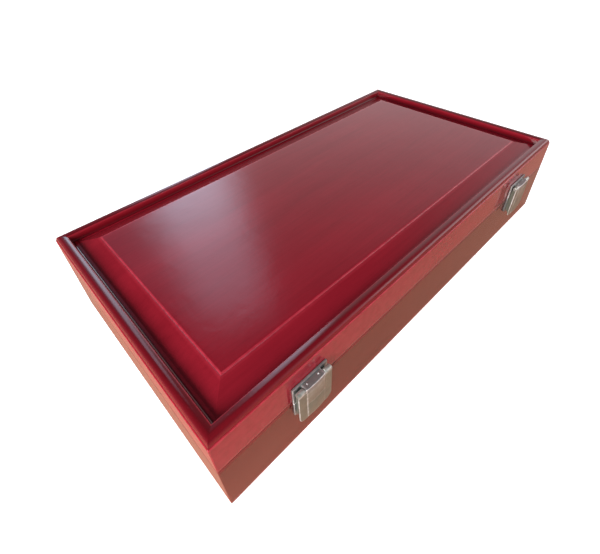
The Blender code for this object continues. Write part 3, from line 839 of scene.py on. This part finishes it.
def dress(node, material, bevel=0.0, angle=30):
    """Gives a CAD node its material, and rounds its edges without touching its own mesh."""
    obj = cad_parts[node]
    obj.data.materials.clear()
    obj.data.materials.append(material)
    if bevel:
        weld = obj.modifiers.new("weld", "WELD")
        weld.merge_threshold = 1e-5
        edges = obj.modifiers.new("edges", "BEVEL")
        edges.width = bevel
        edges.segments = 3
        edges.limit_method = "ANGLE"
        edges.angle_limit = math.radians(angle)
        edges.harden_normals = True


def dress_nodes():
    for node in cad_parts:
        if node.startswith("latch_"):
            dress(node, MATERIALS["nickel"])
        elif node.startswith("hinge_"):
            dress(node, MATERIALS["steel"], 0.0 if "screw" in node or "pin" in node else 0.15 * MM)
        elif node.startswith(("tray_", "well_")):
            crosswise = node.endswith("_end") or node in ("well_divider_left", "well_divider_right")
            dress(node, MATERIALS["tray_Y" if crosswise else "tray_X"], 0.7 * MM)
        elif node == "base_bottom_panel":
            dress(node, MATERIALS["bottom"], 0.3 * MM)


# ---------------------------------------------------------------- stage, light and camera


def build_stage():
    mesh_data = bmesh.new()
    size = 12.0
    corners = [(-size, -size, 0.0), (size, -size, 0.0), (size, size, 0.0), (-size, size, 0.0)]
    mesh_data.faces.new([mesh_data.verts.new(corner) for corner in corners])
    mesh = bpy.data.meshes.new("floor")
    mesh_data.to_mesh(mesh)
    mesh_data.free()
    floor = bpy.data.objects.new("floor", mesh)
    bpy.context.scene.collection.objects.link(floor)
    shader = Shader("pale_floor")
    rays = shader.add("ShaderNodeLightPath")
    colour = shader.mix(rays.outputs["Is Glossy Ray"], (0.90, 0.90, 0.90), (0.72, 0.40, 0.28))
    shader.join(colour, shader.bsdf.inputs["Base Color"])
    shader.bsdf.inputs["Emission Color"].default_value = (1.0, 1.0, 1.0, 1.0)
    glow = shader.range(rays.outputs["Is Camera Ray"], 0.0, 1.0, 0.0, 0.75)
    shader.join(glow, shader.bsdf.inputs["Emission Strength"])
    shader.set(Roughness=1.0, Specular_IOR_Level=0.0)
    mesh.materials.append(shader.material)


def area_light(name, place, target, size, power, colour=(1.0, 1.0, 1.0)):
    data = bpy.data.lights.new(name, "AREA")
    data.shape = "RECTANGLE"
    data.size, data.size_y = size
    data.energy = power
    data.color = colour
    light = bpy.data.objects.new(name, data)
    light.location = place
    light.rotation_euler = (Vector(target) - Vector(place)).to_track_quat("-Z", "Y").to_euler()
    bpy.context.scene.collection.objects.link(light)


def build_world():
    """White to the camera. In reflections a dim room, brighter near the horizon, with two window panes and a
    lit side."""
    world = bpy.data.worlds.new("studio")
    bpy.context.scene.world = world
    world.use_nodes = True
    tree = world.node_tree

    def node(kind, *values, **settings):
        made = tree.nodes.new(kind)
        for key, value in settings.items():
            setattr(made, key, value)
        for socket, value in zip(made.inputs, values):
            if isinstance(value, bpy.types.NodeSocket):
                tree.links.new(value, socket)
            else:
                socket.default_value = value
        return made.outputs[0]

    def degrees(operation, *values):
        angle = node("ShaderNodeMath", *values, operation=operation)
        return node("ShaderNodeMath", angle, 180 / math.pi, operation="MULTIPLY")

    def fade(value, start, end):
        """One at start, falling smoothly to nothing at end."""
        return node("ShaderNodeMapRange", value, end, start, 0.0, 1.0, interpolation_type="SMOOTHSTEP")

    split = tree.nodes.new("ShaderNodeSeparateXYZ")
    tree.links.new(tree.nodes.new("ShaderNodeTexCoord").outputs["Generated"], split.inputs[0])
    azimuth = degrees("ARCTAN2", split.outputs["X"], split.outputs["Y"])
    elevation = degrees("ARCSINE", split.outputs["Z"])

    def patch(side, half_width, soft_side, full_below, gone_above, colour, lean=0.0):
        """A soft patch around one azimuth, full below one elevation and gone above another."""
        off = node("ShaderNodeMath", azimuth, -float(side), operation="ADD")
        off = node("ShaderNodeMath", elevation, -lean, off, operation="MULTIPLY_ADD")
        off = node("ShaderNodeMath", off, operation="ABSOLUTE")
        across = fade(off, half_width, half_width + soft_side)
        up = fade(elevation, full_below, gone_above)
        share = node("ShaderNodeMath", across, up, operation="MULTIPLY")
        return node("ShaderNodeVectorMath", colour, (0, 0, 0), (0, 0, 0), share, operation="SCALE")

    room = (0.07, 0.06, 0.07)
    for light in (
        patch(0, 180, 1, 0, 36, (0.28, 0.26, 0.27)),
        patch(88, 58, 30, 19, 57, (1.12, 0.90, 0.93)),
        patch(8, 10, 10, 40, 58, (0.03, 0.16, 0.24)),
        patch(18, 2, 8, 32, 45, (1.1, 1.6, 2.0), 0.17),
        patch(18, 3, 9, 47, 56, (1.6, 1.9, 2.4), 0.17),
    ):
        room = node("ShaderNodeVectorMath", light, room, operation="ADD")
    rays = tree.nodes.new("ShaderNodeLightPath")
    choose = tree.nodes.new("ShaderNodeMix")
    choose.data_type = "RGBA"
    tree.links.new(rays.outputs["Is Camera Ray"], choose.inputs[0])
    tree.links.new(room, choose.inputs[6])
    choose.inputs[7].default_value = (1.0, 1.0, 1.0, 1.0)
    tree.links.new(choose.outputs[2], tree.nodes["Background"].inputs["Color"])


def build_camera():
    data = bpy.data.cameras.new("camera")
    data.lens = 23.52
    data.sensor_width = 36.0
    data.shift_x = 0.005
    data.shift_y = -0.0893
    data.clip_start = 0.01
    data.clip_end = 60.0
    camera = bpy.data.objects.new("camera", data)
    camera.location = (-0.2679, Y_MID - 0.2395, MOULDING + 0.2408)
    camera.rotation_euler = [math.radians(angle) for angle in (50.671, 2.447, -43.586)]
    bpy.context.scene.collection.objects.link(camera)
    bpy.context.scene.camera = camera


build_lid()
build_base()
build_latches()
build_fabric()
dress_nodes()
build_stage()
area_light("key", (-1.72, -0.52, 0.85), (0.0, 0.0, 0.06), (1.4, 1.0), 64.0)
area_light("side", (1.50, -1.20, 0.80), (0.0, 0.0, 0.06), (1.4, 0.9), 6.0)
build_world()
build_camera()
bpy.context.scene.view_settings.view_transform = "Standard"
